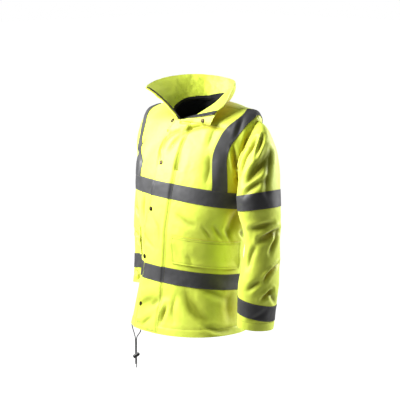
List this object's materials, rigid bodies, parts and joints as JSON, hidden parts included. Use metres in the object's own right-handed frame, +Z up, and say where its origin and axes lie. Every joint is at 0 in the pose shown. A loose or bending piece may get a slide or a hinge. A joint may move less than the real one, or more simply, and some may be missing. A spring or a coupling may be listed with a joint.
{
  "type": "work jacket in worn, hollow form",
  "caption": "Fluorescent yellow hi-vis work jacket in worn, hollow form, with dark reflective tapes, storm flap, open collar and hem drawcord.",
  "frame": {"origin": "base of the neck, midway between the shoulders, where the wearer's shoulders carry the jacket", "axes": "+Z up along the worn jacket, -Y towards its front, +X towards the wearer's left"},
  "size_m": [0.7051, 0.3723, 0.9504],
  "materials": {
    "hi_vis_cloth": "coated fluorescent yellow polyester, padded",
    "reflective_tape": "glass bead reflective tape, dark grey in side light",
    "black_zip": "woven black zip tape",
    "antique_brass": "antique brass, near black",
    "black_cord": "braided black polyester cord",
    "black_plastic": "matt black moulded plastic"
  },
  "bodies": {
    "root": {"front_left": "hi_vis_cloth", "front_right": "hi_vis_cloth", "back": "hi_vis_cloth", "sleeve_left": "hi_vis_cloth", "sleeve_right": "hi_vis_cloth", "collar": "hi_vis_cloth", "flap_top": "hi_vis_cloth", "storm_flap": "hi_vis_cloth", "pocket_flap_left": "hi_vis_cloth", "pocket_flap_right": "hi_vis_cloth", "tape_waist_left": "reflective_tape", "tape_waist_right": "reflective_tape", "tape_waist_back": "reflective_tape", "tape_waist_flap": "reflective_tape", "tape_chest_left": "reflective_tape", "tape_chest_right": "reflective_tape", "tape_chest_back": "reflective_tape", "tape_chest_flap": "reflective_tape", "brace_front_left": "reflective_tape", "brace_front_right": "reflective_tape", "brace_back_left": "reflective_tape", "brace_back_right": "reflective_tape", "tape_sleeve_left_upper": "reflective_tape", "tape_sleeve_left_lower": "reflective_tape", "tape_sleeve_right_upper": "reflective_tape", "tape_sleeve_right_lower": "reflective_tape", "zip": "black_zip", "zip_left": "black_zip", "zip_right": "black_zip", "snap_flap_1": "antique_brass", "snap_flap_2": "antique_brass", "snap_flap_3": "antique_brass", "snap_flap_4": "antique_brass", "snap_flap_top": "antique_brass", "snap_right_front": "antique_brass", "drawcord_outer": "black_cord", "drawcord_inner": "black_cord", "toggle": "black_plastic"}
  },
  "joints": []
}
